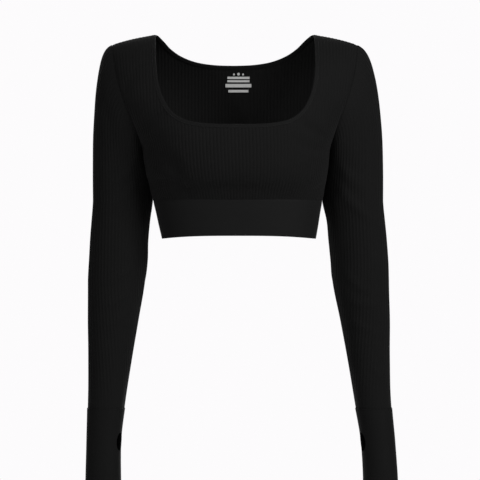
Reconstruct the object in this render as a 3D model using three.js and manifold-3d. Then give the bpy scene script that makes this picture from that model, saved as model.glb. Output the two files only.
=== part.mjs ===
// Ribbed long-sleeve crop top with a wide square neck, a plain band and plain cuffs with thumb holes.
// It keeps its worn, hollow form with no wearer: every piece is a thin cloth wall.
// Millimetres. +X is the wearer's left, the front faces -Y and +Z is up.
// The origin lies midway between the shoulders, at the height of the shoulder straps.
import * as THREE from "three";
import { mergeVertices } from "three/addons/utils/BufferGeometryUtils.js";
import Module from "manifold-3d";

const wasm = await Module();
wasm.setup();

// Driving sizes of the cloth
const WALL = 1.3;
const DOUBLE_WALL = 2.2;
const SEAM_GAP = 0.3;
const CREASE_GAP = 0.8;
const RIB_HEIGHT = 0.7;
const BAND_RAISE = 0.5;

// Ribs on half a panel and on half a sleeve
const FRONT_RIBS = 41;
const BACK_RIBS = 37;
const SLEEVE_RIBS = 29;

// Columns of a plain face: half a panel, half a band, half a sleeve and half a cuff
const PANEL_COLUMNS = 13;
const BAND_COLUMNS = 12;
const SLEEVE_COLUMNS = 11;
const CUFF_COLUMNS = 12;

// Neckline binding
const BINDING_WIDTH = 6.5;
const BINDING_RAISE = 0.9;
const BINDING_DEPTH = 1.7;
const BINDING_ROUND = 0.6;

// Cuffs and their thumb holes
const CUFF_TOP = -560;
const CUFF_END = -671;
const HOLE_CENTRE_Z = -609;
const HOLE_HALF_HEIGHT = 13.5;
const HOLE_HALF_WIDTH = 8.5;
const HOLE_ANGLE = THREE.MathUtils.degToRad(158);
const HOLE_CORNERS = 20;
const HOLE_REACH = 1.6;

// Names each column of a table of sizes.
function table(names, rows) {
  return rows.map((row) => Object.fromEntries(names.map((name, i) => [name, row[i]])));
}

// Body levels from the hem to the shoulder seam.
// centreZ and edgeZ are a level's heights at the centre line and at the side seam or armhole.
// front and back are its depths at the centre line. The ovals are the half widths of the full oval
// that the level follows, and the edges are the half widths where the panel ends.
const LEVELS = table(
  ["centreZ", "edgeZ", "front", "frontOval", "frontEdge", "back", "backOval", "backEdge"],
  [
    [-301.5, -306, 84.5, 114.8, 114.8, 74, 114.8, 114.8],
    [-284, -286, 87, 118.9, 118.9, 75.5, 118.9, 118.9],
    [-266, -267, 90, 122.4, 122.4, 77.5, 122.4, 122.4],
    [-249, -249, 93, 126.3, 126.3, 80, 126.3, 126.3],
    [-238, -238, 101, 128.8, 128.8, 81.5, 128.8, 128.8],
    [-222, -222, 112.5, 132.2, 132.2, 84.5, 132.2, 132.2],
    [-200, -200, 119, 136.4, 136.4, 90.5, 136.4, 136.4],
    [-174, -172, 118.5, 140.3, 140.3, 97, 140.3, 140.3],
    [-152, -156, 115.5, 147.9, 144.2, 100.5, 153.9, 146.5],
    [-123, -132, 108.5, 161.6, 152.8, 102, 173, 157.5],
    [-88, -101, 95.5, 180.3, 165.5, 97.5, 194, 169.5],
    [-52, -66, 78, 189.2, 176, 85, 201, 178],
    [-22, -39.5, 54.5, 192.5, 181, 64, 199, 182],
    [-3.5, -23.5, 28.5, 191.5, 183.3, 35, 194, 183.5],
    [4.3, -16.3, 0, 192, 184, 0, 192, 184],
  ],
);
const HEM = 0;
const BAND_TOP = 3;
const UNDERARM = 7;
const SHOULDER = LEVELS.length - 1;
const BAND_ROWS = [HEM, 1, 2, BAND_TOP];
const BODY_ROWS = [BAND_TOP, 4, 5, 6, UNDERARM, 7.5, 8, 9, 10, 11, 12, 13, SHOULDER];

// Squareness of the ovals, and which way each face looks
const POWER = { front: 2.5, back: 2.3 };
const FACING = { front: -1, back: 1 };

// The body hangs a little off its centre line below the chest, and is turned a little, as worn.
const CENTRE_X = -2.2;
const LEAN_START = -120;
const LEAN = 0.0345;
const TURN = 0.03;

// Neckline in the front view: half width and height from the shoulder seam to the centre line
const NECKLINE = {
  front: table(
    ["half", "z"],
    [
      [118.5, -1.2],
      [118, -29],
      [116.7, -55],
      [113.4, -79],
      [106.7, -100.5],
      [95.2, -119.6],
      [77.4, -132.3],
      [54, -138],
      [27, -140],
      [0, -140],
    ],
  ),
  back: table(
    ["half", "z"],
    [
      [118.5, -1.2],
      [113.6, -2.2],
      [106, -7.8],
      [95, -18],
      [79, -27.8],
      [57, -35.5],
      [29.5, -39.5],
      [0, -40.5],
    ],
  ),
};

// Sleeve rings from the upper arm to the cuff end: the inner and outer edges in the front view
// for the wearer's left and right, the centre's y and the half depth.
const RINGS = table(
  ["z", "leftInner", "leftOuter", "rightInner", "rightOuter", "y", "halfDepth"],
  [
    [-249, 130.5, 221.5, 126, 215.4, 18, 49],
    [-279, 136.8, 224, 129.8, 217.3, 18.5, 48],
    [-309, 139.3, 227, 132.2, 219.7, 18, 46.5],
    [-339, 142.2, 229.6, 132.9, 221.7, 17.5, 45.3],
    [-369, 145.2, 230.8, 136.9, 223.5, 17, 44],
    [-429, 156.9, 232.1, 146.7, 223.5, 13, 40],
    [-489, 167.8, 232.1, 156.6, 222.9, 7, 35],
    [-549, 177.6, 233, 165.6, 222.6, 0, 30],
    [-609, 187.4, 237.4, 172.4, 223, -7, 26.5],
    [-671, 190.8, 241.1, 172.5, 223.9, -14, 26],
  ],
);
const RING_POWER = 2.15;
const RING_SKEW = 0.15;
const UPPER_ARM_Z = RINGS[0].z;
const SLEEVE_ROW_Z = [CUFF_TOP + SEAM_GAP, -480, -395, -320, -277, UPPER_ARM_Z];
const CAP_ROWS = [0.78, 0.57, 0.38, 0.22, 0.1, 0];

// How the sleeve leaves the armhole, from the shoulder (first row) to the underarm (last row):
// its direction out, forward or back, and down, its two handles as parts of the drop,
// and how far the lower handle stands out from the upper arm.
const CAP_NAMES = ["out", "away", "down", "startHandle", "endHandle", "endOut"];
const CAP_TOP = [0.965, 0, 0.26, 0.068, 0.88, 2];
const CAP_BOTTOM = [0.5, 0, 0.87, 0.18, 0.4, 6];
const CAP = {
  front: table(CAP_NAMES, [
    CAP_TOP,
    [0.84, -0.12, 0.52, 0.16, 0.68, 1],
    [0.66, -0.12, 0.74, 0.24, 0.52, 0],
    [0.5, 0.05, 0.87, 0.25, 0.42, 1],
    CAP_BOTTOM,
  ]),
  back: table(CAP_NAMES, [
    CAP_TOP,
    [0.8, 0.35, 0.5, 0.16, 0.68, 1],
    [0.55, 0.42, 0.72, 0.24, 0.52, 0],
    [0.25, 0.3, 0.92, 0.25, 0.42, -1],
    CAP_BOTTOM,
  ]),
};

// A smooth value between the rows of a table, where t counts rows.
function sample(rows, t) {
  const i = Math.min(Math.max(Math.floor(t), 0), rows.length - 2);
  const k = t - i;
  const at = (j) => rows[Math.min(Math.max(j, 0), rows.length - 1)];
  const [a, b, c, d] = [at(i - 1), at(i), at(i + 1), at(i + 2)];
  const blend = (name) =>
    0.5 *
    (2 * b[name] +
      (c[name] - a[name]) * k +
      (2 * a[name] - 5 * b[name] + 4 * c[name] - d[name]) * k ** 2 +
      (3 * b[name] - a[name] - 3 * c[name] + d[name]) * k ** 3);
  return Object.fromEntries(Object.keys(b).map((name) => [name, blend(name)]));
}

// Moves a point of an upright body face to where it hangs, half a seam gap from the other face.
function hung(face, point) {
  point.x += CENTRE_X + LEAN * Math.max(0, LEAN_START - point.z) - TURN * point.y;
  point.y += (FACING[face] * SEAM_GAP) / 2;
  return point;
}

// Finds points along a polyline by the part of its length.
function along(points) {
  const lengths = [0];
  for (let i = 1; i < points.length; i += 1) {
    lengths.push(lengths[i - 1] + points[i].distanceTo(points[i - 1]));
  }
  const total = lengths[lengths.length - 1];
  const at = (part) => {
    const goal = Math.min(Math.max(part, 0), 1) * total;
    let i = 1;
    while (i < points.length - 1 && lengths[i] < goal) i += 1;
    const share = (goal - lengths[i - 1]) / (lengths[i] - lengths[i - 1]);
    return points[i - 1].clone().lerp(points[i], share);
  };
  return { total, at };
}

// A point of the upright body face at level t, at a half width x from the centre line.
function facePoint(face, x, t) {
  const level = sample(LEVELS, t);
  const power = POWER[face];
  const inside = Math.max(0, 1 - (x / level[`${face}Oval`]) ** power);
  const y = FACING[face] * level[face] * inside ** (1 / power);
  const z = level.centreZ + (level.edgeZ - level.centreZ) * (x / level[`${face}Edge`]) ** 3;
  return new THREE.Vector3(x, y, z);
}

// Half a level of a body face as a curve from the centre line to its edge.
const CURVE_STEPS = 150;
const levelCurves = new Map();
function levelCurve(face, t) {
  const key = `${face} ${t.toFixed(4)}`;
  if (!levelCurves.has(key)) {
    const level = sample(LEVELS, t);
    const oval = level[`${face}Oval`];
    const power = POWER[face];
    const last = Math.asin(Math.min(1, level[`${face}Edge`] / oval) ** (power / 2));
    const points = [];
    for (let i = 0; i <= CURVE_STEPS; i += 1) {
      const x = oval * Math.sin((last * i) / CURVE_STEPS) ** (2 / power);
      points.push(facePoint(face, x, t));
    }
    levelCurves.set(key, along(points));
  }
  return levelCurves.get(key);
}

// A point of a body face: part runs from -1 at the right edge to 1 at the left edge.
function bodyPoint(face, part, t) {
  const point = levelCurve(face, t).at(Math.abs(part));
  point.x *= Math.sign(part);
  return hung(face, point);
}

// The outward normal of a body face. At the seams it lies in the seam's own plane.
const STEP = 0.01;
function bodyNormal(face, part, t) {
  const across = bodyPoint(face, Math.min(part + STEP, 1), t);
  across.sub(bodyPoint(face, Math.max(part - STEP, -1), t));
  const up = bodyPoint(face, part, Math.min(t + STEP, SHOULDER));
  up.sub(bodyPoint(face, part, Math.max(t - STEP, HEM)));
  const normal = across.cross(up).multiplyScalar(-FACING[face]);
  const onSideSeam = Math.abs(part) === 1 && t <= UNDERARM;
  if (onSideSeam || t === SHOULDER) normal.y = 0;
  return normal.normalize();
}

// Adds triangles between two rows of points, walking both by the part of their length.
function stitch(faces, first, second) {
  const parts = (row) => {
    const lengths = [0];
    for (let i = 1; i < row.length; i += 1) {
      lengths.push(lengths[i - 1] + row[i].distanceTo(row[i - 1]));
    }
    return lengths.map((length) => length / lengths[row.length - 1]);
  };
  const firstParts = parts(first);
  const secondParts = parts(second);
  let i = 0;
  let j = 0;
  while (i < first.length - 1 || j < second.length - 1) {
    const firstIsNext = j === second.length - 1 || firstParts[i + 1] <= secondParts[j + 1];
    if (i < first.length - 1 && firstIsNext) {
      faces.push([first[i + 1], first[i], second[j]]);
      i += 1;
    } else {
      faces.push([second[j], second[j + 1], first[i]]);
      j += 1;
    }
  }
}

// Adds the faces of a grid of points, row above row.
function addGrid(faces, rows, faceOut) {
  for (let i = 0; i < rows.length - 1; i += 1) {
    for (let j = 0; j < rows[i].length - 1; j += 1) {
      const [a, b] = [rows[i][j], rows[i][j + 1]];
      const [c, d] = [rows[i + 1][j + 1], rows[i + 1][j]];
      faces.push(faceOut ? [a, b, c] : [a, c, b]);
      faces.push(faceOut ? [a, c, d] : [a, d, c]);
    }
  }
}

// A closed wall between an outer and an inner grid. A tube's rows close on themselves.
function wall(outer, inner, isTube) {
  const faces = [];
  addGrid(faces, outer, true);
  addGrid(faces, inner, false);
  const top = outer.length - 1;
  stitch(faces, outer[0], inner[0]);
  stitch(faces, inner[top], outer[top]);
  if (!isTube) {
    const column = (rows, last) => rows.map((row) => row[last ? row.length - 1 : 0]);
    stitch(faces, column(inner, false), column(outer, false));
    stitch(faces, column(outer, true), column(inner, true));
  }
  return solidGeometry(faces);
}

// Merges the corners of the faces and leaves out the faces that have closed to a line.
const WELD = 1e-3;
function solidGeometry(faces) {
  const positions = faces.flat().flatMap((point) => [point.x, point.y, point.z]);
  const loose = new THREE.BufferGeometry();
  loose.setAttribute("position", new THREE.Float32BufferAttribute(positions, 3));
  const merged = mergeVertices(loose, WELD);
  const corners = merged.index.array;
  const kept = [];
  for (let i = 0; i < corners.length; i += 3) {
    const [a, b, c] = [corners[i], corners[i + 1], corners[i + 2]];
    if (a !== b && b !== c && c !== a) kept.push(a, b, c);
  }
  merged.setIndex(kept);
  return merged;
}

// Moves a point out along a normal.
function raised(point, normal, distance) {
  return point.clone().addScaledVector(normal, distance);
}

// Half a face's columns: the parts of a level at which its ribs rise and fall.
// Above the underarm the ribs keep their pitch and end at the armhole.
function ribParts(face, ribs, t) {
  const ownLength = levelCurve(face, t).total;
  const underarmLength = levelCurve(face, UNDERARM).total;
  const length = t > UNDERARM ? underarmLength : ownLength;
  const parts = [];
  for (let k = 0; k < 2 * ribs; k += 1) {
    parts.push(Math.min(1, (k * length) / (2 * ribs) / ownLength));
  }
  parts.push(1);
  return parts;
}

// Both halves of a row of parts, from the right edge to the left edge.
function mirrored(parts) {
  return [...parts.slice(1).reverse().map((part) => -part), ...parts];
}

// Evenly spaced parts for a plain row.
function evenParts(count) {
  return Array.from({ length: count + 1 }, (_, i) => i / count);
}

// A body panel's wall between levels: a row of columns on each level, ribbed or plain outside.
function panelWall(face, levels, outerParts, raiseAt, depth, innerCount) {
  const place = (part, t, height) =>
    raised(bodyPoint(face, part, t), bodyNormal(face, part, t), height);
  const turn = (row) => (face === "back" ? row.reverse() : row);
  const outer = levels.map((t) => {
    const parts = mirrored(outerParts(t));
    return turn(parts.map((part, k) => place(part, t, raiseAt(part, k, parts.length))));
  });
  const inner = levels.map((t) => {
    return turn(mirrored(evenParts(innerCount)).map((part) => place(part, t, -depth)));
  });
  return wall(outer, inner, false);
}

// The ribs rise between their grooves and die out towards a panel's edges.
const RIB_FADE = 0.08;
function ribRaise(part, k, count) {
  const fromCentre = Math.abs(k - (count - 1) / 2);
  if (fromCentre % 2 === 0) return 0;
  return RIB_HEIGHT * THREE.MathUtils.smoothstep(1 - Math.abs(part), 0, RIB_FADE);
}

const FINE_WELD = 1e-4;
function toSolid(geometry) {
  const merged = mergeVertices(geometry, FINE_WELD);
  return new wasm.Manifold(
    new wasm.Mesh({
      numProp: 3,
      vertProperties: new Float32Array(merged.attributes.position.array),
      triVerts: new Uint32Array(merged.index.array),
    }),
  );
}

function toGeometry(solid) {
  const mesh = solid.getMesh();
  const geometry = new THREE.BufferGeometry();
  geometry.setAttribute("position", new THREE.Float32BufferAttribute(mesh.vertProperties, 3));
  geometry.setIndex(Array.from(mesh.triVerts));
  return geometry;
}

// A straight prism from an outline in its own plane.
function prism(outline, depth) {
  const geometry = new THREE.ExtrudeGeometry(new THREE.Shape(outline), {
    depth,
    bevelEnabled: false,
  });
  geometry.deleteAttribute("normal");
  geometry.deleteAttribute("uv");
  return geometry;
}

// The neckline in space, with its normal, from the right shoulder seam to the left one.
const NECK_STEPS = { front: 36, back: 26 };
function neckPath(face) {
  const rows = NECKLINE[face];
  const steps = NECK_STEPS[face];
  const half = [];
  for (let i = 0; i <= steps / 2; i += 1) {
    const { half: x, z } = sample(rows, ((rows.length - 1) * i) / (steps / 2));
    const t = i === 0 ? SHOULDER : levelAt(face, x, z);
    half.push({ x, t });
  }
  const points = [];
  for (const side of [-1, 1]) {
    const ordered = side < 0 ? half : half.slice(0, -1).reverse();
    for (const { x, t } of ordered) points.push(neckPoint(face, side, x, t));
  }
  return points;
}

// The level at which a body face has a given height, at a given half width.
const HALVINGS = 40;
function levelAt(face, x, z) {
  let low = UNDERARM;
  let high = SHOULDER;
  for (let i = 0; i < HALVINGS; i += 1) {
    const middle = (low + high) / 2;
    if (facePoint(face, x, middle).z < z) low = middle;
    else high = middle;
  }
  return (low + high) / 2;
}

// A point on the neckline and the normal of the face there.
const NECK_STEP = 0.5;
function neckPoint(face, side, x, t) {
  const at = (atX, atT) => {
    const point = facePoint(face, Math.abs(atX), Math.min(atT, SHOULDER));
    point.x *= Math.sign(atX);
    return hung(face, point);
  };
  const signedX = side * x;
  const across = at(signedX + NECK_STEP, t).sub(at(signedX - NECK_STEP, t));
  const up = at(signedX, t + STEP).sub(at(signedX, t - STEP));
  const normal = across.cross(up).multiplyScalar(-FACING[face]);
  if (t === SHOULDER) normal.y = 0;
  return { point: at(signedX, t), normal: normal.normalize() };
}

// The whole neckline as a closed loop, with the direction away from the opening at each point.
function neckLoop() {
  const front = neckPath("front");
  const back = neckPath("back").reverse();
  const loop = [...front, ...back];
  return loop.map(({ point, normal }, i) => {
    const before = loop[(i + loop.length - 1) % loop.length].point;
    const after = loop[(i + 1) % loop.length].point;
    const forward = after.clone().sub(before).normalize();
    const away = forward.cross(normal).normalize();
    return { point, normal, away };
  });
}

// The binding's section: its place away from the neck edge and its height off the cloth.
const BINDING_SECTION = table(
  ["away", "height"],
  [
    [BINDING_ROUND, BINDING_RAISE],
    [BINDING_WIDTH - BINDING_ROUND, BINDING_RAISE],
    [BINDING_WIDTH, BINDING_RAISE - BINDING_ROUND],
    [BINDING_WIDTH, -BINDING_DEPTH],
    [BINDING_ROUND, -BINDING_DEPTH],
    [0, -BINDING_DEPTH / 2],
  ],
);

// Sweeps a section along the whole neckline.
function sweepNeck(section) {
  const rings = neckLoop().map(({ point, normal, away }) =>
    section.map((corner) => raised(raised(point, away, corner.away), normal, corner.height)),
  );
  const closed = [...rings, rings[0]];
  const faces = [];
  addGrid(faces, closed.map((ring) => [...ring, ring[0]]), true);
  return outward(solidGeometry(faces));
}

function makeBinding() {
  return sweepNeck(BINDING_SECTION);
}

// Turns a closed geometry's faces out if they point in.
function outward(geometry) {
  if (toSolid(geometry).volume() >= 0) return geometry;
  const corners = Array.from(geometry.index.array);
  geometry.setIndex(corners.reverse());
  return geometry;
}

// The strip that is cut square through the cloth, from inside the opening to the binding's seam
const CUT_CLEAR = SEAM_GAP + 0.5;
const CUT_INSIDE = -12;
const CUT_HEIGHT = 7;
const CUT_SECTION = table(
  ["away", "height"],
  [
    [CUT_INSIDE, CUT_HEIGHT],
    [BINDING_WIDTH + CUT_CLEAR, CUT_HEIGHT],
    [BINDING_WIDTH + CUT_CLEAR, -CUT_HEIGHT],
    [CUT_INSIDE, -CUT_HEIGHT],
  ],
);

// Cuts a panel's neckline, a seam gap clear of the binding.
const ABOVE_SHOULDER = 60;
const CUT_DEPTH = 400;
function cutNeck(face, geometry) {
  const shoulders = NECK_STEPS.front + 1;
  const loop = neckLoop();
  const half = face === "front" ? loop.slice(0, shoulders) : loop.slice(shoulders);
  const outline = half.map(({ point, away }) => {
    const edge = raised(point, away, CUT_INSIDE / 2);
    return new THREE.Vector2(edge.x, edge.z);
  });
  const [start, end] = [outline[0], outline[outline.length - 1]];
  outline.push(new THREE.Vector2(end.x, ABOVE_SHOULDER));
  outline.push(new THREE.Vector2(start.x, ABOVE_SHOULDER));
  const middle = prism(outline, CUT_DEPTH);
  middle.rotateX(Math.PI / 2);
  middle.translate(0, CUT_DEPTH / 2, 0);
  const strip = toSolid(sweepNeck(CUT_SECTION));
  return toGeometry(toSolid(geometry).subtract(strip).subtract(toSolid(middle)));
}

function makeBodyPanel(face, ribs) {
  const columns = (t) => ribParts(face, ribs, t);
  return cutNeck(face, panelWall(face, BODY_ROWS, columns, ribRaise, WALL, PANEL_COLUMNS));
}

// The plain double band under the bust, up to a seam gap below the ribbed panel
function makeBand(face) {
  const topRow = BAND_TOP - SEAM_GAP / (LEVELS[BAND_TOP].edgeZ - LEVELS[BAND_TOP - 1].edgeZ);
  const rows = [...BAND_ROWS.slice(0, -1), topRow];
  const depth = DOUBLE_WALL - BAND_RAISE;
  const columns = () => evenParts(BAND_COLUMNS);
  return panelWall(face, rows, columns, () => BAND_RAISE, depth, BAND_COLUMNS);
}

// Half an armhole from the shoulder to the underarm, along the panel's own edge
const armholes = new Map();
function armhole(side, face) {
  const key = `${side} ${face}`;
  if (!armholes.has(key)) {
    const rows = BODY_ROWS.filter((t) => t >= UNDERARM).reverse();
    armholes.set(key, along(rows.map((t) => bodyPoint(face, side, t))));
  }
  return armholes.get(key);
}

// The sleeve's ring at a height, as sizes
function ringAt(side, z) {
  let row = 0;
  while (row < RINGS.length - 2 && RINGS[row + 1].z > z) row += 1;
  const t = row + (RINGS[row].z - z) / (RINGS[row].z - RINGS[row + 1].z);
  const ring = sample(RINGS, t);
  const name = side > 0 ? "left" : "right";
  const [inner, outer] = [ring[`${name}Inner`], ring[`${name}Outer`]];
  const wide = (outer - inner) / 2 - RIB_HEIGHT;
  return { z, x: (inner + outer) / 2, y: ring.y, wide, deep: ring.halfDepth - RIB_HEIGHT };
}

// A point of a ring: the angle runs from the outer side over the front to the inner side.
function ringPoint(side, ring, angle) {
  const round = (value) => Math.sign(value) * Math.abs(value) ** (2 / RING_POWER);
  const y = -ring.deep * round(Math.sin(angle));
  const x = ring.x + ring.wide * round(Math.cos(angle)) - RING_SKEW * skewShare(ring) * y;
  return new THREE.Vector3(side * x, ring.y + y, ring.z);
}

// The skew that lays the sleeve along the body fades towards the wrist.
function skewShare(ring) {
  return THREE.MathUtils.smoothstep(ring.z, CUFF_TOP, UPPER_ARM_Z);
}

// Half a ring as a curve, over the front or over the back.
const ringCurves = new Map();
function ringCurve(side, face, z) {
  const key = `${side} ${face} ${z.toFixed(3)}`;
  if (!ringCurves.has(key)) {
    const ring = ringAt(side, z);
    const points = [];
    for (let i = 0; i <= CURVE_STEPS; i += 1) {
      points.push(ringPoint(side, ring, (-FACING[face] * Math.PI * i) / CURVE_STEPS));
    }
    ringCurves.set(key, along(points));
  }
  return ringCurves.get(key);
}

// The crease stands off the body below the shoulder.
const CREASE_FADE = 0.3;

// A point of the sleeve. part runs from 0 at the outer line to 1 at the inner seam over the front,
// and to -1 over the back. A positive row is the share of the way down the cap, others are heights.
function sleevePoint(side, part, row) {
  const wrapped = part > 1 ? part - 2 : part < -1 ? part + 2 : part;
  const face = wrapped >= 0 ? "front" : "back";
  const share = Math.abs(wrapped);
  if (row < 0) return ringCurve(side, face, row).at(share);
  const start = armhole(side, face).at(share);
  start.x += side * (SEAM_GAP + CREASE_GAP * THREE.MathUtils.smoothstep(share, 0, CREASE_FADE));
  start.y -= (FACING[face] * SEAM_GAP) / 2;
  const end = ringCurve(side, face, UPPER_ARM_Z).at(share);
  const drop = start.z - end.z;
  const cap = sample(CAP[face], share * (CAP[face].length - 1));
  const leave = new THREE.Vector3(side * cap.out, FACING[face] * cap.away, -cap.down);
  const first = start.clone().addScaledVector(leave.normalize(), cap.startHandle * drop);
  const second = end.clone();
  second.z += cap.endHandle * drop;
  second.x += side * cap.endOut;
  return new THREE.CubicBezierCurve3(start, first, second, end).getPoint(row);
}

// The sleeve's outward normal
const STEP_DOWN = 2;
function sleeveNormal(side, part, row) {
  const round = sleevePoint(side, part + STEP, row);
  round.sub(sleevePoint(side, part - STEP, row));
  const isCap = row >= 0;
  const step = isCap ? STEP : STEP_DOWN;
  const lower = isCap ? Math.min(row + step, 1) : Math.max(row - step, CUFF_END);
  const upper = isCap ? Math.max(row - step, 0) : Math.min(row + step, UPPER_ARM_Z);
  const down = sleevePoint(side, part, lower).sub(sleevePoint(side, part, upper));
  return round.cross(down).multiplyScalar(-side).normalize();
}

// The sleeve's rib columns at a row: they keep their pitch below the upper arm and end at the seam.
function sleeveParts(side, row) {
  const upper = ringCurve(side, "front", UPPER_ARM_Z).total;
  const own = row < 0 ? ringCurve(side, "front", row).total : upper;
  const parts = [];
  for (let k = 0; k < 2 * SLEEVE_RIBS; k += 1) {
    parts.push(Math.min(1, (k * upper) / (2 * SLEEVE_RIBS) / own));
  }
  parts.push(1);
  return mirrored(parts);
}

// A sleeve's wall, whose ribs rise as it leaves the armhole
const CAP_FADE = 0.3;
function makeSleeve(side) {
  const rows = [...SLEEVE_ROW_Z, ...CAP_ROWS];
  const turn = (row) => (side > 0 ? row.reverse() : row);
  const place = (part, row, height) =>
    raised(sleevePoint(side, part, row), sleeveNormal(side, part, row), height);
  const outer = rows.map((row) => {
    const parts = sleeveParts(side, row);
    const fade = row < 0 ? 1 : THREE.MathUtils.smoothstep(row, 0, CAP_FADE);
    const raise = (part, k) => fade * ribRaise(part, k, parts.length);
    return turn(parts.map((part, k) => place(part, row, raise(part, k))));
  });
  const inner = rows.map((row) => {
    return turn(mirrored(evenParts(SLEEVE_COLUMNS)).map((part) => place(part, row, -WALL)));
  });
  return outward(wall(outer, inner, true));
}

// Half a cuff, parted at the thumb hole and opposite it, so that each half is an open shell
const CUFF_ROWS = [CUFF_END, -640, -600, CUFF_TOP];
function makeCuffHalf(side, face) {
  const middleRing = ringAt(side, HOLE_CENTRE_Z);
  const gapAngle = SEAM_GAP / 2 / middleRing.wide;
  const start = face === "front" ? HOLE_ANGLE - Math.PI : HOLE_ANGLE;
  const span = Math.PI - 2 * gapAngle;
  const shell = (height) =>
    CUFF_ROWS.map((z) => {
      const ring = ringAt(side, z);
      const grown = { ...ring, wide: ring.wide + height, deep: ring.deep + height };
      const angles = evenParts(CUFF_COLUMNS).map((part) => start + gapAngle + span * part);
      return angles.map((angle) => ringPoint(side, grown, angle));
    });
  const half = outward(wall(shell(BAND_RAISE / 2), shell(BAND_RAISE / 2 - WALL), false));
  return toGeometry(toSolid(half).subtract(toSolid(thumbHole(side))));
}

// The thumb hole's cutter: an oval prism from the cuff's axis out past its wall
function thumbHole(side) {
  const ring = ringAt(side, HOLE_CENTRE_Z);
  const oval = new THREE.EllipseCurve(0, 0, HOLE_HALF_WIDTH, HOLE_HALF_HEIGHT);
  const outline = oval.getPoints(HOLE_CORNERS).slice(0, -1);
  const cutter = prism(outline, HOLE_REACH * ring.wide);
  const out = new THREE.Vector3(side * Math.cos(HOLE_ANGLE), -Math.sin(HOLE_ANGLE), 0);
  const upright = new THREE.Vector3(0, 0, 1);
  const turn = new THREE.Matrix4().makeBasis(upright.clone().cross(out), upright, out);
  cutter.applyMatrix4(turn);
  cutter.translate(side * ring.x, ring.y, ring.z);
  return cutter;
}

// The cloth's colours: ribbed knit, and the smoother knit of the bands and edges
const RIBBED = { color: 0x17171a, roughness: 0.9, metalness: 0 };
const PLAIN = { color: 0x1a1a1d, roughness: 0.82, metalness: 0 };

function piece(name, geometry, finish) {
  const mesh = new THREE.Mesh(geometry, new THREE.MeshStandardMaterial(finish));
  mesh.name = name;
  return mesh;
}

const top = new THREE.Group();
top.add(piece("body_front", makeBodyPanel("front", FRONT_RIBS), RIBBED));
top.add(piece("body_back", makeBodyPanel("back", BACK_RIBS), RIBBED));
top.add(piece("neck_binding", makeBinding(), PLAIN));
for (const face of ["front", "back"]) {
  top.add(piece(`band_${face}`, makeBand(face), PLAIN));
}
for (const [name, side] of [["left", 1], ["right", -1]]) {
  top.add(piece(`sleeve_${name}`, makeSleeve(side), RIBBED));
  top.add(piece(`cuff_${name}_front`, makeCuffHalf(side, "front"), PLAIN));
  top.add(piece(`cuff_${name}_back`, makeCuffHalf(side, "back"), PLAIN));
}

export default top;
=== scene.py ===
# Looks of the ribbed crop top: knitted cloth with raised ribs, sewn seams, a folded neck binding,
# a double band under the bust, and smooth cuffs with thumb holes.
# Sizes are in millimetres until a piece is placed; the placed meshes are in metres.
import math

import bmesh
import bpy
import numpy as np
from mathutils import Matrix, Vector


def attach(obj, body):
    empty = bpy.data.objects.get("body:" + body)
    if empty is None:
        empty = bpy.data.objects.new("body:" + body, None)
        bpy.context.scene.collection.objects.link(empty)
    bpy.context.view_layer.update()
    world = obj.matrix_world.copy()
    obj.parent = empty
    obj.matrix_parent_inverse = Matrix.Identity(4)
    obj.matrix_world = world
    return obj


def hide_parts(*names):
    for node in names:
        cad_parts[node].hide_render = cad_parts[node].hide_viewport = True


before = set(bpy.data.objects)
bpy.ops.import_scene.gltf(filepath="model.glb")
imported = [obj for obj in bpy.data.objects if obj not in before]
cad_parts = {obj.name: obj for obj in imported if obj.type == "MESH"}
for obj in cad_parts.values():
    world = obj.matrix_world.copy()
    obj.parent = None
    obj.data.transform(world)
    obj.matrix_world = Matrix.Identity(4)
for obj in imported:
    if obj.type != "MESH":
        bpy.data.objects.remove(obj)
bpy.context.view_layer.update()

MM = 0.001

# Cloth: wall thicknesses, and how far a surface stands out or in from the body's or sleeve's own
CLOTH = 1.1
BAND_OUT = 0.5
BAND_IN = 1.7
CUFF_OUT = 0.25
CUFF_CLOTH = 1.3
PRINT_CLOTH = 0.2

# Ribs: height, pitch, flatness of their tops, and the grid's columns in each
RIB_HEIGHT = 0.7
RIB_PITCH = 5.0
RIB_FLATNESS = 0.6
RIB_COLUMNS = 6
SLEEVE_RIBS = 29

# Seams: the gap between body panels, the one between body and sleeve, and how deep and how wide
# each kind of seam pulls the cloth in
SEAM_GAP = 0.3
JOIN_GAP = 0.05
BODY_SIDE_DIP = (0.6, 2.2)
BODY_ARMHOLE_DIP = (0.4, 4.0)
BODY_BAND_DIP = (0.3, 2.2)
SLEEVE_SIDE_DIP = (0.6, 2.0)
SLEEVE_ARMHOLE_DIP = (0.4, 4.5)
CUFF_DIP = (0.12, 2.4)
BAND_SIDE_DIP = (0.45, 1.8)
BAND_TOP_DIP = (0.6, 2.6)

# Over what width ribs and creases fade towards an edge, and the share of the ribs left there
RIB_FADE_AT_EDGE = (5, 0.35)
RIB_FADE_AT_ARMHOLE = (9, 0.15)
RIB_FADE_AT_INNER_SEAM = (6, 0)
RIB_FADE_ABOVE_CUFF = (70, 0.35)
BODY_CREASE_FADE = 14
SLEEVE_CREASE_FADE = 10

# How much the flat cloth waves by itself
BODY_WAVES = 0.35
SLEEVE_WAVES = 0.5
BAND_WAVES = 0.3
CUFF_WAVES = 0.35

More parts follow.
